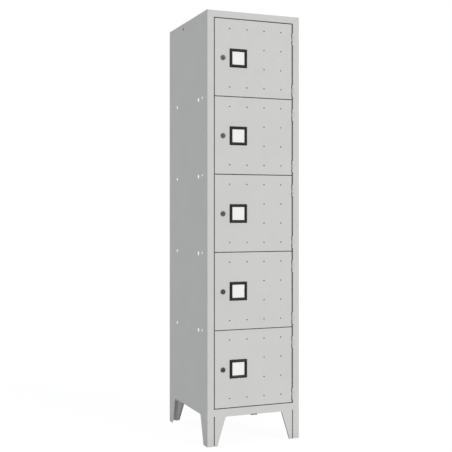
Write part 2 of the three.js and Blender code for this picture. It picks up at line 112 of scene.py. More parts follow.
def square_loops(
    half: np.ndarray, depth: np.ndarray, corner: np.ndarray, centre: tuple[float, float], steps: int
) -> np.ndarray:
    """Closed upright rectangles with rounded corners.

    Each corner is a quarter circle of the corner radius about a point that lies that radius inside
    both edges.

    Args:
        half: Half width and half height of each loop, loops by 2.
        depth: Y of each loop.
        corner: Corner radius of each loop.
        centre: X and Z of the middle.
        steps: Points on each corner.

    Returns:
        Points, loops by 4 times steps by 3.
    """
    quarter = np.linspace(0, np.pi / 2, steps)
    angle = (quarter[None, :] + np.arange(4)[:, None] * np.pi / 2).reshape(-1)
    sign = np.repeat(np.array([[1, 1], [-1, 1], [-1, -1], [1, -1]]), steps, axis=0)
    middle = sign[None] * (half[:, None] - corner[:, None, None])
    x = centre[0] + middle[..., 0] + corner[:, None] * np.cos(angle)
    z = centre[1] + middle[..., 1] + corner[:, None] * np.sin(angle)
    return np.stack([x, np.broadcast_to(depth[:, None], x.shape), z], -1)


def eased(points: np.ndarray, easing: np.ndarray, steps: int) -> np.ndarray:
    """An open profile with its corners eased.

    Each corner B between A and C becomes the curve (1 - t)^2 P + 2 t (1 - t) B + t^2 Q, where P and
    Q lie the easing distance from B towards A and C. Points that fall together are dropped.

    Args:
        points: Corners of the profile, corners by 2.
        easing: Distance at each corner, none at the two ends.
        steps: Points on each eased corner.

    Returns:
        Points of the eased profile, points by 2.
    """
    before = np.vstack([points[:1], points[:-1]]) - points
    after = np.vstack([points[1:], points[-1:]]) - points
    reach = easing[:, None]
    unit = [way / np.maximum(np.linalg.norm(way, axis=1, keepdims=True), TINY) for way in (before, after)]
    start = points + unit[0] * reach
    end = points + unit[1] * reach
    t = np.linspace(0, 1, steps)[None, :, None]
    curve = (1 - t) ** 2 * start[:, None] + 2 * t * (1 - t) * points[:, None] + t**2 * end[:, None]
    flat = curve.reshape(-1, 2)
    moved = np.linalg.norm(np.diff(flat, axis=0), axis=1) > SAME_POINT
    return flat[np.concatenate([[True], moved])]


def skin(loops: np.ndarray, wrap: Wrap) -> Surface:
    """Faces over a row of loops, pointing outwards.

    Point j of loop i is joined to point j of loop i + 1 and to point j + 1 of its own loop. The
    faces are turned over if the volume that they enclose comes out negative.

    Args:
        loops: Points, loops by points by 3.
        wrap: How the skin is closed.

    Returns:
        Points in one list, and the faces.
    """
    rows, count = loops.shape[:2]
    points = loops.reshape(-1, 3)
    i = np.arange(rows if wrap is Wrap.RING else rows - 1)[:, None]
    j = np.arange(count)[None, :]
    following = (i + 1) % rows
    beside = (j + 1) % count
    corners = [i * count + j, i * count + beside, following * count + beside, following * count + j]
    quads = np.stack([c + 0 * (i + j) for c in corners], -1).reshape(-1, 4)
    a, b, c, d = (points[quads[:, k]] for k in range(4))
    volume = np.einsum("ij,ij->", a, np.cross(b, c)) + np.einsum("ij,ij->", a, np.cross(c, d))
    faces = quads.tolist()
    if wrap is Wrap.CAPPED:
        ring = np.arange(count)
        for cap in (ring[::-1], ring + (rows - 1) * count):
            first, second, third = points[cap[:1]], points[cap[1:-1]], points[cap[2:]]
            volume += np.einsum("ij,ij->", np.broadcast_to(first, second.shape), np.cross(second, third))
            faces.append(cap.tolist())
    if volume < 0:
        faces = [face[::-1] for face in faces]
    return points, faces


def middle(node: str) -> tuple[float, float]:
    """X and Z of the middle of a packed solid."""
    low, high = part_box(node)
    return (low.x + high.x) / 2, (low.z + high.z) / 2


def half_size(node: str) -> np.ndarray:
    """Half the width and half the height of a packed solid."""
    low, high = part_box(node)
    return np.array([(high.x - low.x) / 2, (high.z - low.z) / 2])


def piece(
    name: str, body: str, surface: Surface, material: bpy.types.Material, replaced: str = "",
    crease: float = 35.0,
) -> bpy.types.Object:
    """Make an object of a surface and let it ride on a body.

    Args:
        name: Name of the piece.
        body: Body that carries it.
        surface: Points and faces.
        material: Finish.
        replaced: Packed node that it stands for, if any.
        crease: Degrees between two faces past which their edge is sharp.

    Returns:
        The object.
    """
    mesh = bpy.data.meshes.new(name)
    mesh.from_pydata(surface[0].tolist(), [], surface[1])
    mesh.polygons.foreach_set("use_smooth", np.ones(len(mesh.polygons), dtype=bool))
    mesh.set_sharp_from_angle(angle=np.radians(crease))
    mesh.materials.append(material)
    mesh.update()
    made = bpy.data.objects.new(name, mesh)
    bpy.context.scene.collection.objects.link(made)
    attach(made, body)
    if replaced:
        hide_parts(replaced)
    return made


# Finishes


def srgb(code: str) -> tuple[float, float, float, float]:
    """Linear colour of an sRGB hex code.

    A value v of the code, as a share of 255, becomes v / 12.92 up to 0.04045 and else
    ((v + 0.055) / 1.055) to the power of 2.4.

    Args:
        code: Six hex digits.

    Returns:
        Linear red, green and blue, and an alpha of one.
    """
    value = np.array([int(code[k : k + 2], 16) for k in (0, 2, 4)]) / 255
    linear = np.where(value <= 0.04045, value / 12.92, ((value + 0.055) / 1.055) ** 2.4)
    return (*linear.tolist(), 1.0)


def grain(size_mm: float) -> float:
    """Scale of a noise whose patches are about that many millimetres across."""
    return 1 / (size_mm * MM)


def add_node(
    tree: bpy.types.NodeTree, kind: str, settings: dict | None = None, inputs: dict | None = None,
    links: dict | None = None,
) -> bpy.types.Node:
    """Add a node with its settings and links.

    Args:
        tree: Tree that takes the node.
        kind: Blender's name for the node's type.
        settings: Property values by name.
        inputs: Values by input socket.
        links: By input socket, the node and the output socket that feed it.

    Returns:
        The node.
    """
    node = tree.nodes.new(kind)
    for key, value in (settings or {}).items():
        setattr(node, key, value)
    for key, value in (inputs or {}).items():
        node.inputs[key].default_value = value
    for key, (source, socket) in (links or {}).items():
        tree.links.new(source.outputs[socket], node.inputs[key])
    return node


def new_tree(name: str) -> tuple[bpy.types.Material, bpy.types.NodeTree]:
    """An empty material and its tree.

    Args:
        name: Name of the material.

    Returns:
        The material and its node tree.
    """
    material = bpy.data.materials.new(name)
    material.use_nodes = True
    material.node_tree.nodes.clear()
    return material, material.node_tree


@dataclass(frozen=True)
class Noise:
    """One noise of a finish.

    Attributes:
        size_mm: Width of its patches.
        low: What it gives where the noise is lowest.
        high: What it gives where the noise is highest.
        detail: Octaves.
        stretch: Scale along X, Y and Z.
    """

    size_mm: float
    low: float = 0.0
    high: float = 1.0
    detail: float = 2.0
    stretch: tuple[float, float, float] = (1.0, 1.0, 1.0)

    def add(self, tree: bpy.types.NodeTree) -> bpy.types.Node:
        """Add the noise on Object coordinates, mapped to its own range.

        Args:
            tree: Tree that takes it.

        Returns:
            Map Range node whose Result is the noise.
        """
        place = add_node(tree, "ShaderNodeTexCoord")
        turned = add_node(
            tree, "ShaderNodeMapping", inputs={"Scale": self.stretch}, links={"Vector": (place, "Object")}
        )
        noise = add_node(
            tree,
            "ShaderNodeTexNoise",
            inputs={"Scale": grain(self.size_mm), "Detail": self.detail},
            links={"Vector": (turned, "Vector")},
        )
        return add_node(
            tree,
            "ShaderNodeMapRange",
            inputs={
                "From Min": NOISE_LOW, "From Max": NOISE_HIGH, "To Min": self.low, "To Max": self.high,
            },
            links={"Value": (noise, "Fac")},
        )


@dataclass(frozen=True)
class Finish:
    """A finish with a broad tone between two colours, a mottled gloss and a fine relief.

    Attributes:
        name: Name of the material.
        dark: Deeper of its two colours.
        light: Lighter of its two colours.
        tone: Patches of the two colours.
        gloss: Patches of roughness.
        relief: Grain of the surface.
        height_mm: Height of that grain.
        metallic: One for bare metal.
        specular: Strength of the reflection off its skin, half being that of glass or most paints.
    """

    name: str
    dark: str
    light: str
    tone: Noise
    gloss: Noise
    relief: Noise
    height_mm: float
    metallic: float = 0.0
    specular: float = 0.5

    def colour(self, tree: bpy.types.NodeTree) -> Outlet:
        """Add the colour nodes.

        Args:
            tree: Tree that takes them.

        Returns:
            Where the colour comes out.
        """
        tone = self.tone.add(tree)
        mix = add_node(
            tree,
            "ShaderNodeMix",
            settings={"data_type": "RGBA"},
            inputs={MIX_A: srgb(self.dark), MIX_B: srgb(self.light)},
            links={"Factor": (tone, "Result")},
        )
        return mix, MIX_COLOUR

    def make(self) -> bpy.types.Material:
        """Build the material.

        Returns:
            The material.
        """
        material, tree = new_tree(self.name)
        gloss = self.gloss.add(tree)
        relief = self.relief.add(tree)
        bump = add_node(
            tree,
            "ShaderNodeBump",
            inputs={"Strength": 1.0, "Distance": self.height_mm * MM},
            links={"Height": (relief, "Result")},
        )
        shader = add_node(
            tree,
            "ShaderNodeBsdfPrincipled",
            inputs={"Metallic": self.metallic, "Specular IOR Level": self.specular},
            links={
                "Base Color": self.colour(tree), "Roughness": (gloss, "Result"), "Normal": (bump, "Normal"),
            },
        )
        add_node(tree, "ShaderNodeOutputMaterial", links={"Surface": (shader, "BSDF")})
        return material


@dataclass(frozen=True)
class FrameCoat(Finish):
    """The same powder on the carcass, scuffed at the feet, with painted shade in the seams round the doors.

    Attributes:
        scuff: Colour of the scuffed foot.
        scuff_top_mm: Height above the floor where the scuffs end.
        scuff_share: How far a scuff goes to its own colour.
        scuff_patches: Patches of the scuffs.
        painted_seam_shade: Colour painted into the seams as shade, a dark grey for the shade inside the gaps
            round the doors.
        painted_seam_shade_share: How far the painted shade hides the paint.
        painted_seam_shade_patches: Patches of the painted shade.
        front_mm: Y of the front plane.
        seam_mm: Depths behind the front plane where the painted shade starts, is full, thins again and ends.
        inside_mm: Distance to both sides of the middle within which the seams lie.
        under_mm: Height below which they lie.
        soften_mm: Width over which the painted shade ends at those two.
    """

    scuff: str = "A9A8A5"
    scuff_top_mm: float = 45.0
    scuff_share: float = 0.35
    scuff_patches: Noise = Noise(size_mm=14, detail=4)
    # Painted shade: a dark grey laid on the faces inside the gaps round the doors, standing in for their
    # shade
    painted_seam_shade: str = "55534F"
    painted_seam_shade_share: float = 0.75
    painted_seam_shade_patches: Noise = Noise(size_mm=30, low=0.8, high=1.0, detail=3)
    front_mm: float = -248.0
    seam_mm: tuple[float, float, float, float] = (1.1, 2.0, 17.5, 20.0)
    inside_mm: float = 200.0
    under_mm: float = 1790.0
    soften_mm: float = 4.0

    def colour(self, tree: bpy.types.NodeTree) -> Outlet:
        """Add the colour nodes: the plain tone under the scuffs, and those under the painted shade in the
        seams.

        Args:
            tree: Tree that takes them.

        Returns:
            Where the colour comes out.
        """
        place = add_node(tree, "ShaderNodeTexCoord")
        split = add_node(tree, "ShaderNodeSeparateXYZ", links={"Vector": (place, "Object")})
        scuffed = self.covered(tree, super().colour(tree), self.scuff, self.scuffs(tree, split))
        # The second cover is painted shade in the seams round the doors
        return self.covered(tree, scuffed, self.painted_seam_shade, self.painted_seam_shade_mask(tree, split))

    def ramp(
        self, tree: bpy.types.NodeTree, source: Outlet, start_mm: float, end_mm: float, low: float,
        high: float,
    ) -> Outlet:
        """Add a value that goes from one number to another while a length goes from start to end.

        Args:
            tree: Tree that takes it.
            source: Where the length comes from, in metres.
            start_mm: Length at which the value begins to change.
            end_mm: Length at which it stops.
            low: Value up to the start.
            high: Value from the end on.

        Returns:
            Where the value comes out.
        """
        inputs = {"From Min": start_mm * MM, "From Max": end_mm * MM, "To Min": low, "To Max": high}
        return add_node(tree, "ShaderNodeMapRange", inputs=inputs, links={"Value": source}), "Result"

    def product(self, tree: bpy.types.NodeTree, *factors: Outlet) -> Outlet:
        """Add the product of two or more values.

        Args:
            tree: Tree that takes the nodes.
            *factors: Where the values come from.

        Returns:
            Where the product comes out.
        """
        total = factors[0]
        for factor in factors[1:]:
            total = (
                add_node(
                    tree, "ShaderNodeMath", settings={"operation": "MULTIPLY"}, links={0: total, 1: factor}
                ),
                "Value",
            )
        return total

    def scuffs(self, tree: bpy.types.NodeTree, split: bpy.types.Node) -> Outlet:
        """Add the share of the scuffs: patches that thin out from the floor upwards.

        Args:
            tree: Tree that takes the nodes.
            split: Node that gives X, Y and Z.

        Returns:
            Where the share comes out.
        """
        low = self.ramp(tree, (split, "Z"), 0.0, self.scuff_top_mm, self.scuff_share, 0.0)
        return self.product(tree, low, (self.scuff_patches.add(tree), "Result"))

    def painted_seam_shade_mask(self, tree: bpy.types.NodeTree, split: bpy.types.Node) -> Outlet:
        """Add the share of the painted shade: a band behind the front plane, inside the uprights' outer
        faces, where the gaps round the doors lie in shade.

        Args:
            tree: Tree that takes the nodes.
            split: Node that gives X, Y and Z.

        Returns:
            Where the share comes out.
        """
        start, full, thin, end = (self.front_mm + depth for depth in self.seam_mm)
        off = add_node(tree, "ShaderNodeMath", settings={"operation": "ABSOLUTE"}, links={0: (split, "X")})
        inside = self.inside_mm
        # The band is painted shade on the faces inside the gaps round the doors
        return self.product(
            tree,
            self.ramp(tree, (split, "Y"), start, full, 0.0, self.painted_seam_shade_share),
            self.ramp(tree, (split, "Y"), thin, end, 1.0, 0.0),
            self.ramp(tree, (off, "Value"), inside - self.soften_mm, inside, 1.0, 0.0),
            self.ramp(tree, (split, "Z"), self.under_mm - self.soften_mm, self.under_mm, 1.0, 0.0),
            (self.painted_seam_shade_patches.add(tree), "Result"),
        )

    def covered(self, tree: bpy.types.NodeTree, under: Outlet, over: str, share: Outlet) -> Outlet:
        """Add a colour over another by a share.

        Args:
            tree: Tree that takes the nodes.
            under: Where the covered colour comes from.
            over: Colour that covers it.
            share: Where the share of the cover comes from.

        Returns:
            Where the mixed colour comes out.
        """
        mix = add_node(
            tree,
            "ShaderNodeMix",
            settings={"data_type": "RGBA"},
            inputs={MIX_B: srgb(over)},
            links={"Factor": share, MIX_A: under},
        )
        return mix, MIX_COLOUR


# Light grey polyester powder coat, baked on cold-rolled sheet: a satin skin with a faint orange peel.
# The real peel is about 1.5 mm across, and is drawn at 4 mm so that it shows.
POWDER_COAT = Finish(
    name="light_grey_powder_coat",
    dark="CBCBC9",
    light="CECECC",
    tone=Noise(size_mm=210, detail=3),
    gloss=Noise(size_mm=35, low=0.58, high=0.68, detail=3),
    relief=Noise(size_mm=4, detail=1),
    height_mm=0.02,
)

# The carcass's coat: the same powder, with scuffs from feet at the bottom and painted shade in the seams
# round the doors.
FRAME_COAT = FrameCoat(**{**vars(POWDER_COAT), "name": "light_grey_powder_coat_worn"})

# Mid grey primer on the floor's channel: matt, with a soft mottled bloom. Its grey is partly the primer's
# own and partly painted shade, kept dark for the shade on the channel's end under the plinth.
GREY_PRIMER_AND_SHADE = Finish(
    name="mid_grey_primer",
    dark="828486",
    light="909294",
    tone=Noise(size_mm=25, detail=4),
    gloss=Noise(size_mm=12, low=0.58, high=0.72),
    relief=Noise(size_mm=2, detail=2),
    height_mm=0.03,
)

# Bright zinc plate on turned and stamped steel: cool grey with soft cloudy patches.
ZINC_PLATE = Finish(
    name="bright_zinc_plate",
    dark="A3A6A9",
    light="BFC1C1",
    tone=Noise(size_mm=9, detail=4),
    gloss=Noise(size_mm=5, low=0.24, high=0.42, detail=3),
    relief=Noise(size_mm=0.8, detail=2),
    height_mm=0.01,
    metallic=1.0,
)

# Die-cast zinc alloy under dark nickel, satin from tumbling: a warm dark grey with soft highlights.
DARK_NICKEL = Finish(
    name="dark_nickel_die_casting",
    dark="434140",
    light="4F4D4C",
    tone=Noise(size_mm=4, detail=3),
    gloss=Noise(size_mm=2, low=0.34, high=0.48),
    relief=Noise(size_mm=0.6, detail=2),
    height_mm=0.012,
    metallic=1.0,
)

# Black ABS from a finely etched mould: deep black with a low soft sheen and a trace of flow.
BLACK_ABS = Finish(
    name="black_moulded_abs",
    dark="141312",
    light="191817",
    tone=Noise(size_mm=14),
    gloss=Noise(size_mm=9, low=0.26, high=0.38),
    relief=Noise(size_mm=1.2, detail=1),
    height_mm=0.008,
    specular=0.22,
)

# Uncoated white card: bright, quite matt, with a fibrous surface.
WHITE_CARD = Finish(
    name="uncoated_white_card",
    dark="F4F4F3",
    light="F8F8F7",
    tone=Noise(size_mm=3, detail=4),
    gloss=Noise(size_mm=6, low=0.78, high=0.92),
    relief=Noise(size_mm=0.7, detail=4, stretch=(1.0, 1.0, 0.4)),
    height_mm=0.015,
)

# Nickel plate over turned steel rivet heads: near white, polished, with faint hazy patches.
BRIGHT_NICKEL = Finish(
    name="polished_nickel_plate",
    dark="EFEEEC",
    light="F7F6F4",
    tone=Noise(size_mm=5),
    gloss=Noise(size_mm=3, low=0.12, high=0.20),
    relief=Noise(size_mm=1.0, detail=1),
    height_mm=0.006,
    metallic=1.0,
)


@dataclass
class PaintShop:
    """Ready materials, each made once.

    Attributes:
        ready: The materials, by the record's slot or by a name of their own beside a slot.
    """

    ready: dict[str, bpy.types.Material] = field(default_factory=dict)

    def __post_init__(self) -> None:
        """Make every finish."""
        slots = {
            "grey_paint": POWDER_COAT,
            "frame_paint_with_painted_shade": FRAME_COAT,
            # The carcass's coat carries painted shade in the seams round the doors
            "grey_primer": GREY_PRIMER_AND_SHADE,
            "zinc_plate": ZINC_PLATE,
            "lock_metal": DARK_NICKEL,
            "black_plastic": BLACK_ABS,
            "white_card": WHITE_CARD,
            "rivet_plate": BRIGHT_NICKEL,
        }
        self.ready = {slot: finish.make() for slot, finish in slots.items()}


@dataclass
class SheetShading:
    """Modifiers that shade a packed solid as bent sheet: round over its bends and sharp at its edges.

    Attributes:
        merge: Distance within which the loose triangles' corners are one point.
        crease: Degrees between two faces up to which they are one bend.
        flat_weight: How much more a large face rules the shade than a small one, 50 being evenly.
        group: Node group that merges and shades.
    """

    merge: float = 2e-6
    crease: float = 34.0
    flat_weight: int = 100
    group: bpy.types.NodeTree = field(init=False)

    def __post_init__(self) -> None:
        """Build the node group: merge by distance, smooth faces, and sharp edges past the crease angle."""
        tree = bpy.data.node_groups.new("bent_sheet_shading", "GeometryNodeTree")
        tree.interface.new_socket("Geometry", in_out="INPUT", socket_type="NodeSocketGeometry")
        tree.interface.new_socket("Geometry", in_out="OUTPUT", socket_type="NodeSocketGeometry")
        entry = add_node(tree, "NodeGroupInput")
        merged = add_node(
            tree,
            "GeometryNodeMergeByDistance",
            inputs={"Distance": self.merge},
            links={"Geometry": (entry, "Geometry")},
        )
        angle = add_node(tree, "GeometryNodeInputMeshEdgeAngle")
        bend = add_node(
            tree,
            "FunctionNodeCompare",
            settings={"data_type": "FLOAT", "operation": "LESS_EQUAL"},
            inputs={"B": np.radians(self.crease)},
            links={"A": (angle, "Unsigned Angle")},
        )
        faces = add_node(
            tree,
            "GeometryNodeSetShadeSmooth",
            settings={"domain": "FACE"},
            inputs={"Shade Smooth": True},
            links={"Geometry": (merged, "Geometry")},
        )
        edges = add_node(
            tree,
            "GeometryNodeSetShadeSmooth",
            settings={"domain": "EDGE"},
            links={"Geometry": (faces, "Geometry"), "Shade Smooth": (bend, "Result")},
        )
        add_node(tree, "NodeGroupOutput", links={"Geometry": (edges, "Geometry")})
        self.group = tree

    def add_to(self, solid: bpy.types.Object) -> None:
        """Put the modifiers on a packed solid, with flat faces ruling the shade at a bend's edge.

        Args:
            solid: Packed solid to shade.
        """
        shade = solid.modifiers.new("bent_sheet_shading", "NODES")
        shade.node_group = self.group
        weighted = solid.modifiers.new("flat_faces_first", "WEIGHTED_NORMAL")
        weighted.keep_sharp = True
        weighted.weight = self.flat_weight


@dataclass
class Workshop:
    """What every sub-assembly is dressed with.

    Attributes:
        paints: Ready materials.
        shading: Modifiers for folded sheet.
    """

    paints: PaintShop
    shading: SheetShading

    def dress(self, node: str, slot: str, finish: str = "") -> None:
        """Give a packed solid its slot's finish, or another one, and its shading.

        Args:
            node: Name of the solid.
            slot: The record's material slot for it.
            finish: Name of the material, where it isn't the slot's own.
        """
        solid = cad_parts[node]
        for place in solid.material_slots:
            place.material = self.paints.ready[finish or slot]
        self.shading.add_to(solid)
        LOG.info("%s dressed in %s", node, slot)


# Sub-assemblies


@dataclass
class RivetHead:
    """A low domed rivet head over a fixing hole of a side panel.

    Attributes:
        side: Panel that it is set in.
        y: Place of the hole from front to back.
        z: Height of the hole.
        radius: Radius of the head.
        hole: Radius of the hole.
        play: Room between the shank and the hole.
        rise: Height of the dome off the panel.
        rim: Height of the dome's upright rim.
        shank: Length of the shank, which ends before the shelf's flange.
        segments: Points round the head.
        dome_steps: Loops over the dome, the last of which is closed by a small flat face.
    """

    side: Side
    y: float
    z: float
    radius: float
    hole: float
    play: float = 0.2 * MM
    rise: float = 1.5 * MM
    rim: float = 0.4 * MM
    shank: float = 1.2 * MM
    segments: int = 40
    dome_steps: int = 16

    def surface(self, panel: float) -> Surface:
        """The head's skin: a profile of radius and height off the panel, turned round the hole's axis.

        Over the dome, height = rim + (rise - rim) cos a at radius = head radius times sin a.

        Args:
            panel: Distance of the panel's outer face from the middle of the locker.

        Returns:
            Points and faces.
        """
        shank = self.hole - self.play
        below = np.array([(shank, -self.shank), (shank, 0.0), (self.radius, 0.0)])
        slope = np.linspace(np.pi / 2, 0, self.dome_steps, endpoint=False)
        height = self.rim + (self.rise - self.rim) * np.cos(slope)
        dome = np.stack([self.radius * np.sin(slope), height], -1)
        profile = np.vstack([below, dome])
        angle = np.linspace(0, 2 * np.pi, self.segments, endpoint=False)
        radius = profile[:, :1]
        x = np.broadcast_to(self.side.value * (panel + profile[:, 1:]), (len(profile), self.segments))
        loops = np.stack([x, self.y + radius * np.cos(angle), self.z + radius * np.sin(angle)], -1)
        return skin(loops, Wrap.CAPPED)


@dataclass
class Carcass:
    """The welded carcass: folded panels and the rivets in its side panels.

    Attributes:
        workshop: Finishes and shading.
        heads: Radius of the small, the front and the rear rivet's head.
        hole: Radius of a large fixing hole.
        small_hole: Radius of a small one.
        front_inset: Large hole, from the front plane.
        small_inset: Small hole, from the front plane.
        rear_inset: Rear hole, from the back of the panel.
        drops: How far each of them lies below the middle of the gap beside its shelf.
        shelf_drop: How far a shelf reaches below the middle of that gap.
        body: Body that carries it all.
    """

    workshop: Workshop
    heads: tuple[float, float, float] = (5 * MM, 8.25 * MM, 7 * MM)
    hole: float = 3.25 * MM
    small_hole: float = 2.5 * MM
    front_inset: float = 104 * MM
    small_inset: float = 58 * MM
    rear_inset: float = 114.5 * MM
    drops: tuple[float, float, float] = (3 * MM, 7 * MM, 8 * MM)
    shelf_drop: float = 16 * MM
    body: str = "carcass"

    def sheets(self) -> None:
        """Dress the folded sheets."""
        names = ["left_side_panel", "right_side_panel", "back_panel", "top_panel", "plinth_rail"]
        names += ["floor_panel"] + [f"shelf_{number}" for number in range(1, DOOR_COUNT)]
        for name in names:
            self.workshop.dress(name, "grey_paint", "frame_paint_with_painted_shade")
        # The channel's primer is partly painted shade for its end under the plinth
        self.workshop.dress("floor_channel", "grey_primer")

    def rivets(self) -> None:
        """Set a rivet in each fixing hole: three holes at each shelf, on both side panels."""
        # The hinge barrels stand proud of the right panel's front, so the left one gives the front plane
        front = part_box("left_side_panel")[0].y
        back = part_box("left_side_panel")[1].y
        outside = -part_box("left_side_panel")[0].x
        depths = (front + self.small_inset, front + self.front_inset, back - self.rear_inset)
        holes = (self.small_hole, self.hole, self.hole)
        rivets = list(zip(("small", "front", "rear"), depths, self.heads, holes, self.drops))
        plating = self.workshop.paints.ready["rivet_plate"]
        for number in range(1, DOOR_COUNT):
            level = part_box(f"shelf_{number}")[0].z + self.shelf_drop
            for place, y, radius, hole, drop in rivets:
                for side in Side:
                    head = RivetHead(side, y, level - drop, radius, hole)
                    name = f"{side.name.lower()}_rivet_{number}_{place}"
                    piece(name, self.body, head.surface(outside), plating)
                    LOG.info("%s made", name)

    def build(self) -> None:
        """Dress the sheets and set the rivets."""
        self.sheets()
        self.rivets()


@dataclass
class CamLock:
    """A cam lock: turned housing with a threaded barrel, plug with a keyway, hexagon nut and cam.

    Attributes:
        workshop: Finishes and shading.
        number: Door, counted from the top.
        segments: Points round each turned surface.
        corner_steps: Points on each eased corner of the head.
        seat: Height of the head over the door.
        bore: Radius of the plug's bore.
        mouth_mm: Round the bore, distance outside it, depth and easing of each corner.
        rim_mm: Round the head, distance inside its rim, depth and easing of each corner.
        seat_easing: Easing of the head's edge on the door.
        barrel: Radius over the thread.
        flat: Half the distance across the barrel's two flats.
        pitch: Rise of the thread for each turn.
        thread: Depth of the thread.
        thread_start: Distance from the door to the thread's first loop.
        thread_steps: Loops for each turn of the thread.
        plug: Radius of the plug.
        plug_edge_mm: Round the plug, distance inside its side and depth of each loop.
        key_width: Width of the keyway.
        key_height: Height of the keyway.
        key_depth: Depth of the keyway.
        key_mouth_mm: Round the keyway, distance outside it and depth of each loop.
        tail: Half the side of the plug's square tail.
        rivet: Radius of the rivet that holds the cam.
        rivet_play: Room between the cam and the rivet.
        rivet_shares: Share of that radius, and height in millimetres, of each loop of the rivet.
        rivet_top_share: Share of that radius at the rivet's end.
        nut_segments: Points round the nut, a multiple of six so that each corner is one of them.
        nut: Radius of the nut over its corners.
        nut_bore: Radius of the nut's hole.
        nut_mouth: Bevel of the hole's edges.
        nut_chamfer: Height of the cone that cuts the nut's corners.
        nut_cone_share: Share of that height where the cone leaves the flats.
        nut_face_shares: Radius of the nut's plain face, and of the cone there, over its inner radius.
    """

    workshop: Workshop
    number: int
    segments: int = 64
    corner_steps: int = 5
    seat: float = 2.3 * MM
    bore: float = 5.3 * MM
    mouth_mm: tuple[tuple[float, float, float], ...] = (
        (0.0, 0.55, 0.0), (0.35, 0.25, 0.15), (0.9, 0.3, 0.15), (1.3, 0.0, 0.15),
    )
    rim_mm: tuple[tuple[float, float, float], ...] = ((0.9, 0.0, 0.35), (0.0, 1.0, 0.4))
    seat_easing: float = 0.05 * MM
    barrel: float = 8 * MM
    flat: float = 7 * MM
    pitch: float = 1.25 * MM
    thread: float = 0.45 * MM
    thread_start: float = 0.1 * MM
    thread_steps: int = 6
    plug: float = 5 * MM
    plug_edge_mm: tuple[tuple[float, float], ...] = ((0.5, 0.0), (0.15, 0.08), (0.0, 0.3))
    key_width: float = 1.6 * MM
    key_height: float = 7 * MM
    key_depth: float = 5 * MM
    key_mouth_mm: tuple[tuple[float, float], ...] = ((0.0, 0.35), (0.18, 0.1), (0.55, 0.08))
    tail: float = 3.5 * MM
    rivet: float = 6 * MM
    rivet_play: float = 0.2 * MM
    rivet_shares: tuple[tuple[float, float], ...] = ((1.0, 0.0), (1.0, 0.55), (0.88, 0.85))
    rivet_top_share: float = 0.45
    nut_segments: int = 96
    nut: float = 12 * MM
    nut_bore: float = 8.3 * MM
    nut_mouth: float = 0.3 * MM
    nut_chamfer: float = 0.7 * MM
    nut_cone_share: float = 0.3
    nut_face_shares: tuple[float, float] = (0.97, 1.02)

    def axis(self) -> tuple[float, float]:
        """X and Z of the lock's axis, from the packed housing."""
        return middle(f"door_{self.number}_lock_body")

    def housing(self) -> Surface:
        """The housing's skin.

        The head is an eased profile turned round the axis. On the barrel the radius is the lesser of
        the thread's and the flats': the thread's falls by a wave of the length over the pitch less
        the angle over a turn, and a flat's is its distance over the cosine of the angle.

        Returns:
            Points and faces.
        """
        low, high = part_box(f"door_{self.number}_lock_body")
        front, back = low.y, high.y
        seat = front + self.seat
        rim_radius = (high.x - low.x) / 2
        root = self.barrel - self.thread
        mouth = np.array(self.mouth_mm) * MM + (self.bore, front, 0)
        rim = np.array(self.rim_mm) * (-MM, MM, MM) + (rim_radius, front, 0)
        foot = np.array([(rim_radius, seat, self.seat_easing), (root, seat, 0)])
        corners = np.vstack([mouth, rim, foot])
        head = eased(corners[:, :2], corners[:, 2], self.corner_steps)
        angle = np.linspace(0, 2 * np.pi, self.segments, endpoint=False)
        along = np.arange(seat + self.thread_start, back, self.pitch / self.thread_steps)
        turns = along[:, None] / self.pitch - angle[None, :] / (2 * np.pi)
        wave = (1 - np.cos(2 * np.pi * turns)) / 2
        flats = self.flat / np.maximum(np.abs(np.cos(angle)), TINY)
        barrel = np.minimum(self.barrel - self.thread * wave, flats)
        end = np.stack([np.minimum(root, flats), np.full(self.segments, self.bore)])
        radius = np.vstack([np.repeat(head[:, :1], self.segments, axis=1), barrel, end])
        depth = np.concatenate([head[:, 1], along, [back, back]])
        return skin(polar_loops(radius, depth, self.axis()), Wrap.RING)

    def turning(self) -> Surface:
        """The plug's skin, from the bottom of the keyway, over its face and side, to the rivet.

        A stadium's radius at an angle is where a ray meets its straight sides or its round ends, and a
        square's is its half side over the greater of the angle's cosine and sine.

        Returns:
            Points and faces.
        """
        low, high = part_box(f"door_{self.number}_lock_plug")
        front = low.y
        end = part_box(f"door_{self.number}_lock_body")[1].y
        rivet_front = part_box(f"door_{self.number}_lock_cam")[1].y + self.rivet_play
        angle = np.linspace(0, 2 * np.pi, self.segments, endpoint=False)
        cosine = np.maximum(np.abs(np.cos(angle)), TINY)
        sine = np.abs(np.sin(angle))
        end_radius = self.key_width / 2
        offset = self.key_height / 2 - end_radius
        sides = end_radius / cosine
        ends = offset * sine + np.sqrt(np.maximum(end_radius**2 - (offset * cosine) ** 2, 0))
        slot = np.where(sides * sine <= offset, sides, ends)
        square = self.tail / np.maximum(cosine, sine)
        circle = np.ones(self.segments)
        rivet = circle * self.rivet
        rows = [(slot, front + self.key_depth)]
        rows += [(slot + out * MM, front + deep * MM) for out, deep in self.key_mouth_mm]
        rows += [(circle * (self.plug - inset * MM), front + deep * MM) for inset, deep in self.plug_edge_mm]
        rows += [(circle * self.plug, end), (square, end), (square, rivet_front)]
        rows += [(rivet * share, rivet_front + rise * MM) for share, rise in self.rivet_shares]
        rows += [(rivet * self.rivet_top_share, high.y)]
        radius = np.array([row[0] for row in rows])
        depth = np.array([row[1] for row in rows])
        return skin(polar_loops(radius, depth, self.axis()), Wrap.CAPPED)

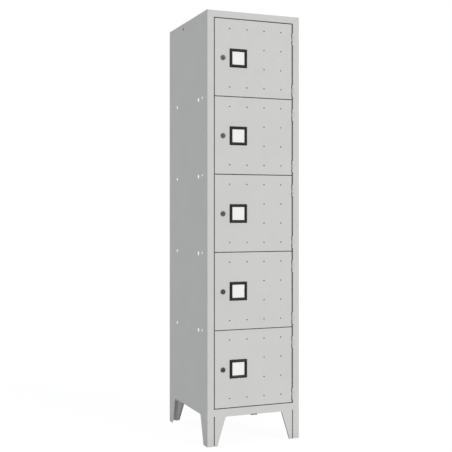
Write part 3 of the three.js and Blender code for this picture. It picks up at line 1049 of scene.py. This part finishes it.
    def hexagon(self) -> Surface:
        """The nut's skin: a hexagon whose corners are cut by a cone at both faces, round a plain hole.

        A hexagon's radius is its inner radius over the cosine of the angle from the nearest flat.

        Returns:
            Points and faces.
        """
        low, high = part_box(f"door_{self.number}_lock_nut")
        count = self.nut_segments
        angle = np.linspace(0, 2 * np.pi, count, endpoint=False)
        sixth = np.pi / 3
        inner = self.nut * np.cos(sixth / 2)
        hexagon = inner / np.cos(np.mod(angle, sixth) - sixth / 2)
        bore = np.full(count, self.nut_bore)
        face, cone = (inner * share for share in self.nut_face_shares)
        half = [
            (bore, self.nut_mouth),
            (bore + self.nut_mouth, 0.0),
            (np.full(count, face), 0.0),
            (np.minimum(hexagon, cone), self.nut_chamfer * self.nut_cone_share),
            (hexagon, self.nut_chamfer),
        ]
        radius = np.array([row[0] for row in half])
        inset = np.array([row[1] for row in half])
        depth = np.concatenate([low.y + inset, high.y - inset[::-1]])
        return skin(polar_loops(np.vstack([radius, radius[::-1]]), depth, self.axis()), Wrap.RING)

    def build(self) -> None:
        """Make the housing, plug and nut, and dress the cam."""
        door = f"door_{self.number}"
        ready = self.workshop.paints.ready
        turns = f"lock_{self.number}"
        parts = [
            ("lock_housing", door, "lock_metal", self.housing(), f"{door}_lock_body"),
            ("lock_hexagon_nut", door, "zinc_plate", self.hexagon(), f"{door}_lock_nut"),
            ("lock_keyed_plug", turns, "lock_metal", self.turning(), f"{door}_lock_plug"),
        ]
        for name, body, slot, surface, node in parts:
            piece(f"{door}_{name}", body, surface, ready[slot], replaced=node)
            LOG.info("%s_%s made", door, name)
        self.workshop.dress(f"{door}_lock_cam", "zinc_plate")


@dataclass
class LabelHolder:
    """A ridged plastic frame with a card behind its window.

    Attributes:
        workshop: Finishes and shading.
        number: Door, counted from the top.
        steps: Points on each rounded corner of the outline.
        corner_steps: Points on each eased corner of the section.
        border: Width of the frame's sides.
        pocket: How far the card reaches behind them.
        rim: Height of the frame's outer edge over the door.
        ridge_outer: Distance from the window to the ridge's outer edge.
        ridge_inner: Distance from the window to the ridge's inner edge.
        window_rise: Height of the window's edge over the door.
        easing_mm: Easing of each corner of the section, from the pocket round by the outer edge.
        corner: Radius of the frame's outer corners.
        corner_fall: How much smaller a corner gets for each length nearer to the window.
        corner_least: Least radius of a corner.
        card_gap: Room in front of the card.
        card_ease: Easing of the card's edges.
        card_corner: Radius of the card's corners.
    """

    workshop: Workshop
    number: int
    steps: int = 6
    corner_steps: int = 5
    border: float = 12 * MM
    pocket: float = 2.5 * MM
    rim: float = 1.2 * MM
    ridge_outer: float = 6.0 * MM
    ridge_inner: float = 5.2 * MM
    window_rise: float = 1.9 * MM
    easing_mm: tuple[float, ...] = (0.0, 0.15, 0.5, 0.7, 0.7, 0.35, 0.1, 0.0)
    corner: float = 1.5 * MM
    corner_fall: float = 0.12
    corner_least: float = 0.35 * MM
    card_gap: float = 0.3 * MM
    card_ease: float = 0.1 * MM
    card_corner: float = 1.0 * MM

    def frame(self) -> Surface:
        """The frame's skin: an eased section of inset and height off the door, carried round a rectangle.

        Returns:
            Points and faces.
        """
        node = f"door_{self.number}_label_frame"
        low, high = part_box(node)
        seat, top = high.y, low.y
        card_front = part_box(f"door_{self.number}_label_card")[0].y - self.card_gap
        section = np.array([
            (self.border - self.pocket, seat),
            (0.0, seat),
            (0.0, seat - self.rim),
            (self.border - self.ridge_outer, top),
            (self.border - self.ridge_inner, top),
            (self.border, seat - self.window_rise),
            (self.border, card_front),
            (self.border - self.pocket, card_front),
        ])
        profile = eased(section, np.array(self.easing_mm) * MM, self.corner_steps)
        half = half_size(node)[None, :] - profile[:, :1]
        corner = np.maximum(self.corner - profile[:, 0] * self.corner_fall, self.corner_least)
        return skin(square_loops(half, profile[:, 1], corner, middle(node), self.steps), Wrap.RING)

    def card(self) -> Surface:
        """The card's skin: four rectangles, the outer two its edge and the inner two its eased faces.

        Returns:
            Points and faces.
        """
        node = f"door_{self.number}_label_card"
        low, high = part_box(node)
        ease = self.card_ease
        inset = np.array([ease, 0, 0, ease])
        depth = np.array([high.y, high.y - ease, low.y + ease, low.y])
        half = half_size(node)[None, :] - inset[:, None]
        corner = np.full(len(inset), self.card_corner)
        return skin(square_loops(half, depth, corner, middle(node), self.steps), Wrap.CAPPED)

    def build(self) -> None:
        """Make the frame and the card."""
        door = f"door_{self.number}"
        ready = self.workshop.paints.ready
        parts = [
            ("label_ridged_frame", "black_plastic", self.frame(), f"{door}_label_frame"),
            ("label_plain_card", "white_card", self.card(), f"{door}_label_card"),
        ]
        for name, slot, surface, node in parts:
            piece(f"{door}_{name}", door, surface, ready[slot], replaced=node)
            LOG.info("%s_%s made", door, name)


@dataclass
class Door:
    """A door with its hinge pins, lock and label holder.

    Attributes:
        workshop: Finishes and shading.
        number: Place, counted from the top.
    """

    workshop: Workshop
    number: int

    def build(self) -> None:
        """Dress the panel and the pins, and make what is fixed to the door."""
        name = f"door_{self.number}"
        self.workshop.dress(f"{name}_panel", "grey_paint")
        for place in ("upper", "lower"):
            self.workshop.dress(f"{name}_hinge_pin_{place}", "zinc_plate")
        CamLock(self.workshop, self.number).build()
        LabelHolder(self.workshop, self.number).build()


@dataclass
class Studio:
    """White room, soft light from the front right, and the camera at the photograph's angle.

    Attributes:
        eye: Place of the camera.
        ahead: Level direction that it looks in.
        focal_px: Focal length in pixels of the picture.
        sensor_mm: Width of the camera's sensor.
        picture_px: Width of the picture.
        centre_px: Column that the camera looks straight at.
        horizon_px: Row of the horizon.
        ambient: Strength of the light from all round.
        ambient_colour: Its colour, a little cool.
        sun_from: Direction that the lamp shines in.
        sun_strength: Its strength.
        sun_colour: Its colour, a little warm.
        sun_width: Its angular width in degrees, wide for soft shadows.
        floor_half: Half the side of the floor.
        floor_colour: Its colour.
        floor_fill: Light that it gives the locker of itself, as a lit table does.
        floor_glow: Light that it gives the eye of itself, up to white with its own shade added.
        shadow_share: How much of the floor's own shade the eye sees.
    """

    eye: tuple[float, float, float] = (-1.464, -3.6149, 0.964)
    ahead: tuple[float, float, float] = (0.3688, 0.9295, 0.0)
    focal_px: float = 875.0
    sensor_mm: float = 36.0
    picture_px: float = 452.0
    centre_px: float = 225.76
    horizon_px: float = 212.8
    ambient: float = 0.505
    ambient_colour: str = "F7FAFF"
    sun_from: tuple[float, float, float] = (-0.50, 0.80, -0.26)
    sun_strength: float = 1.47
    sun_colour: str = "FFFCF8"
    sun_width: float = 30.0
    floor_half: float = 60.0
    floor_colour: str = "B0B0B0"
    floor_fill: float = 0.40
    floor_glow: float = 0.93
    shadow_share: float = 0.3

    def camera(self) -> None:
        """Set up the camera: level, with a small shift to the column and the row that it looks at."""
        data = bpy.data.cameras.new("camera")
        data.sensor_width = self.sensor_mm
        data.lens = self.focal_px / self.picture_px * self.sensor_mm
        data.shift_x = (self.picture_px / 2 - self.centre_px) / self.picture_px
        data.shift_y = (self.horizon_px - self.picture_px / 2) / self.picture_px
        seen = bpy.data.objects.new("camera", data)
        seen.location = self.eye
        seen.rotation_mode = "QUATERNION"
        seen.rotation_quaternion = Vector(self.ahead).to_track_quat("-Z", "Y")
        bpy.context.scene.collection.objects.link(seen)
        bpy.context.scene.camera = seen

    def lamp(self) -> None:
        """Hang one broad soft lamp far off to the front right."""
        data = bpy.data.lights.new("soft_lamp", "SUN")
        data.energy = self.sun_strength
        data.color = srgb(self.sun_colour)[:3]
        data.angle = np.radians(self.sun_width)
        lamp = bpy.data.objects.new("soft_lamp", data)
        lamp.rotation_mode = "QUATERNION"
        lamp.rotation_quaternion = Vector(self.sun_from).to_track_quat("-Z", "Y")
        bpy.context.scene.collection.objects.link(lamp)

    def by_ray(self, tree: bpy.types.NodeTree, plain: float, direct: float) -> Outlet:
        """Add a value with one number for a ray from the eye, off gloss or through glass, and else another.

        Args:
            tree: Tree that takes the nodes.
            plain: Value for the light that falls on things.
            direct: Value for what is seen.

        Returns:
            Where the value comes out.
        """
        path = add_node(tree, "ShaderNodeLightPath")
        total = (path, "Is Camera Ray")
        for kind in ("Is Glossy Ray", "Is Transmission Ray"):
            added = add_node(
                tree,
                "ShaderNodeMath",
                settings={"operation": "ADD", "use_clamp": True},
                links={0: total, 1: (path, kind)},
            )
            total = (added, "Value")
        span = {"To Min": plain, "To Max": direct}
        value = add_node(tree, "ShaderNodeMapRange", inputs=span, links={"Value": total})
        return value, "Result"

    def room(self) -> None:
        """Make the white surroundings: plain white to the eye, and a softer light on the locker."""
        world = bpy.data.worlds.new("white_room")
        world.use_nodes = True
        tree = world.node_tree
        tree.nodes.clear()
        lit = add_node(
            tree,
            "ShaderNodeBackground",
            inputs={"Color": srgb(self.ambient_colour), "Strength": self.ambient},
        )
        shown = add_node(tree, "ShaderNodeBackground", inputs={"Color": srgb("FFFFFF"), "Strength": 1.0})
        mix = add_node(
            tree,
            "ShaderNodeMixShader",
            links={"Fac": self.by_ray(tree, 0.0, 1.0), 1: (lit, "Background"), 2: (shown, "Background")},
        )
        add_node(tree, "ShaderNodeOutputWorld", links={"Surface": (mix, "Shader")})
        bpy.context.scene.world = world

    def floor(self) -> None:
        """Lay a matt floor that the eye sees as white, with only a share of its shadow."""
        half = self.floor_half
        mesh = bpy.data.meshes.new("studio_floor")
        corners = [(-half, -half, 0), (half, -half, 0), (half, half, 0), (-half, half, 0)]
        mesh.from_pydata(corners, [], [(0, 1, 2, 3)])
        material, tree = new_tree("white_studio_floor")
        matt = add_node(tree, "ShaderNodeBsdfDiffuse", inputs={"Color": srgb(self.floor_colour)})
        hidden = self.by_ray(tree, 0.0, 1.0 - self.shadow_share)
        shade = add_node(tree, "ShaderNodeMixShader", links={"Fac": hidden, 1: (matt, "BSDF")})
        given = self.by_ray(tree, self.floor_fill, self.floor_glow)
        glow = add_node(
            tree,
            "ShaderNodeEmission",
            inputs={"Color": srgb("FFFFFF")},
            links={"Strength": given},
        )
        total = add_node(tree, "ShaderNodeAddShader", links={0: (shade, "Shader"), 1: (glow, "Emission")})
        add_node(tree, "ShaderNodeOutputMaterial", links={"Surface": (total, "Shader")})
        mesh.materials.append(material)
        floor = bpy.data.objects.new("studio_floor", mesh)
        bpy.context.scene.collection.objects.link(floor)

    def build(self) -> None:
        """Set up the camera, the lamp, the room and the floor."""
        self.camera()
        self.lamp()
        self.room()
        self.floor()
        bpy.context.scene.view_settings.view_transform = "Standard"


def main() -> None:
    """Build the locker and the studio round it."""
    logging.basicConfig(level=logging.INFO, format="%(name)s: %(message)s")
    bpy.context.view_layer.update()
    workshop = Workshop(PaintShop(), SheetShading())
    Carcass(workshop).build()
    for number in range(1, DOOR_COUNT + 1):
        Door(workshop, number).build()
    Studio().build()


if __name__ == "__main__":
    main()
